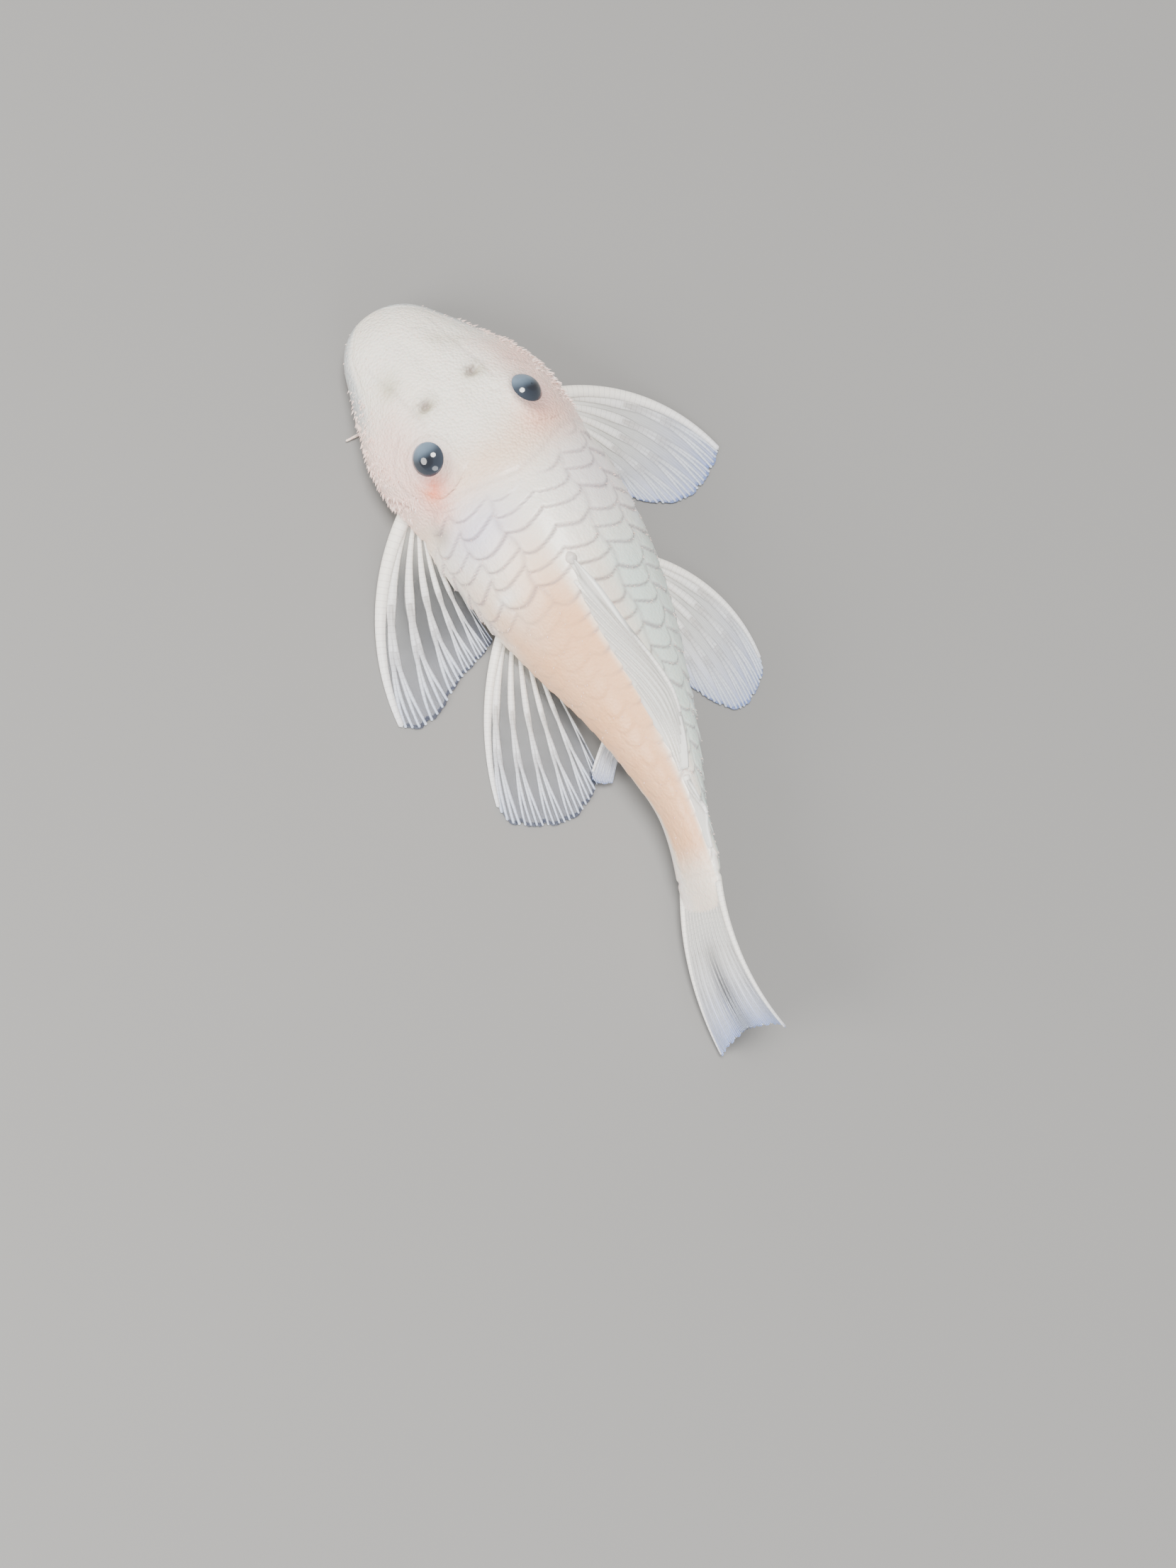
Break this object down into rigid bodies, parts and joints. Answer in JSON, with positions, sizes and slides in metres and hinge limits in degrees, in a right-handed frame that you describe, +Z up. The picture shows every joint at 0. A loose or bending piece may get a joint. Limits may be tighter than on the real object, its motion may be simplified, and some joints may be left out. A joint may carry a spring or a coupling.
{
  "type": "bristlenose pleco model",
  "caption": "Life-size still model of a pale bristlenose pleco lying on its belly, with its paired fins spread and its tail curved.",
  "frame": {"origin": "on the floor under the middle of the whole model", "axes": "+Z up, the head points towards -Y, the fish's left side is towards +X"},
  "size_m": [0.0544, 0.1042, 0.0184],
  "materials": {
    "flesh": "painted cast with a soft wet sheen",
    "fin": "clear and milky fin sheet over pale rays",
    "lip": "soft satin",
    "eye": "polished dark eye"
  },
  "bodies": {
    "root": {"head": "flesh", "trunk": "flesh", "tail_front": "flesh", "tail_rear": "flesh", "mouth_disc": "lip", "barbel_left": "lip", "barbel_right": "lip", "eye_left": "eye", "eye_right": "eye", "pectoral_fin_left": "fin", "pectoral_fin_right": "fin", "pelvic_fin_left": "fin", "pelvic_fin_right": "fin", "anal_fin": "fin", "dorsal_fin": "fin", "adipose_fin": "fin", "caudal_fin": "fin"}
  },
  "joints": []
}
